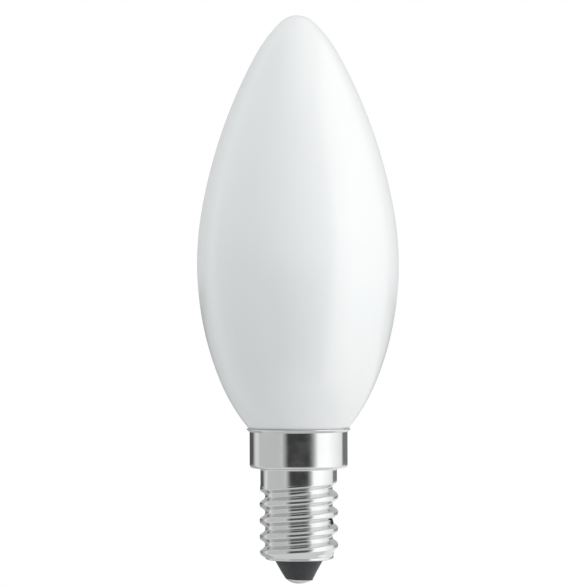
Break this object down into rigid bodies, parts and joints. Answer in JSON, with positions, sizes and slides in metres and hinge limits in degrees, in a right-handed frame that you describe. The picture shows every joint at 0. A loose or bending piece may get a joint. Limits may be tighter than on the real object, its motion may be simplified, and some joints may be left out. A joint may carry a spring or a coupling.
{
  "type": "candle bulb",
  "caption": "Candle-shaped lamp: slim pointed opal glass on a bright metal screw cap, with a dark insulator cone and a domed end contact, for small screw lampholders.",
  "frame": {"origin": "On the bulb's axis, at the lowest point of the centre contact's dome", "axes": "+Z along the bulb's axis from the contact to the tip of the glass, -Y towards the picture's camera, +X to its right"},
  "size_m": [0.035, 0.035, 0.0986],
  "materials": {
    "opal_glass": "satin opal white, not see-through",
    "plated_cap": "bright nickel plate on drawn sheet",
    "dark_insulator": "dull charcoal",
    "contact_metal": "satin plated metal",
    "weld_metal": "dark weld bead"
  },
  "bodies": {
    "root": {"glass_envelope": "opal_glass", "screw_cap": "plated_cap", "insulator": "dark_insulator", "centre_contact": "contact_metal", "side_contact_weld": "weld_metal"}
  },
  "joints": []
}
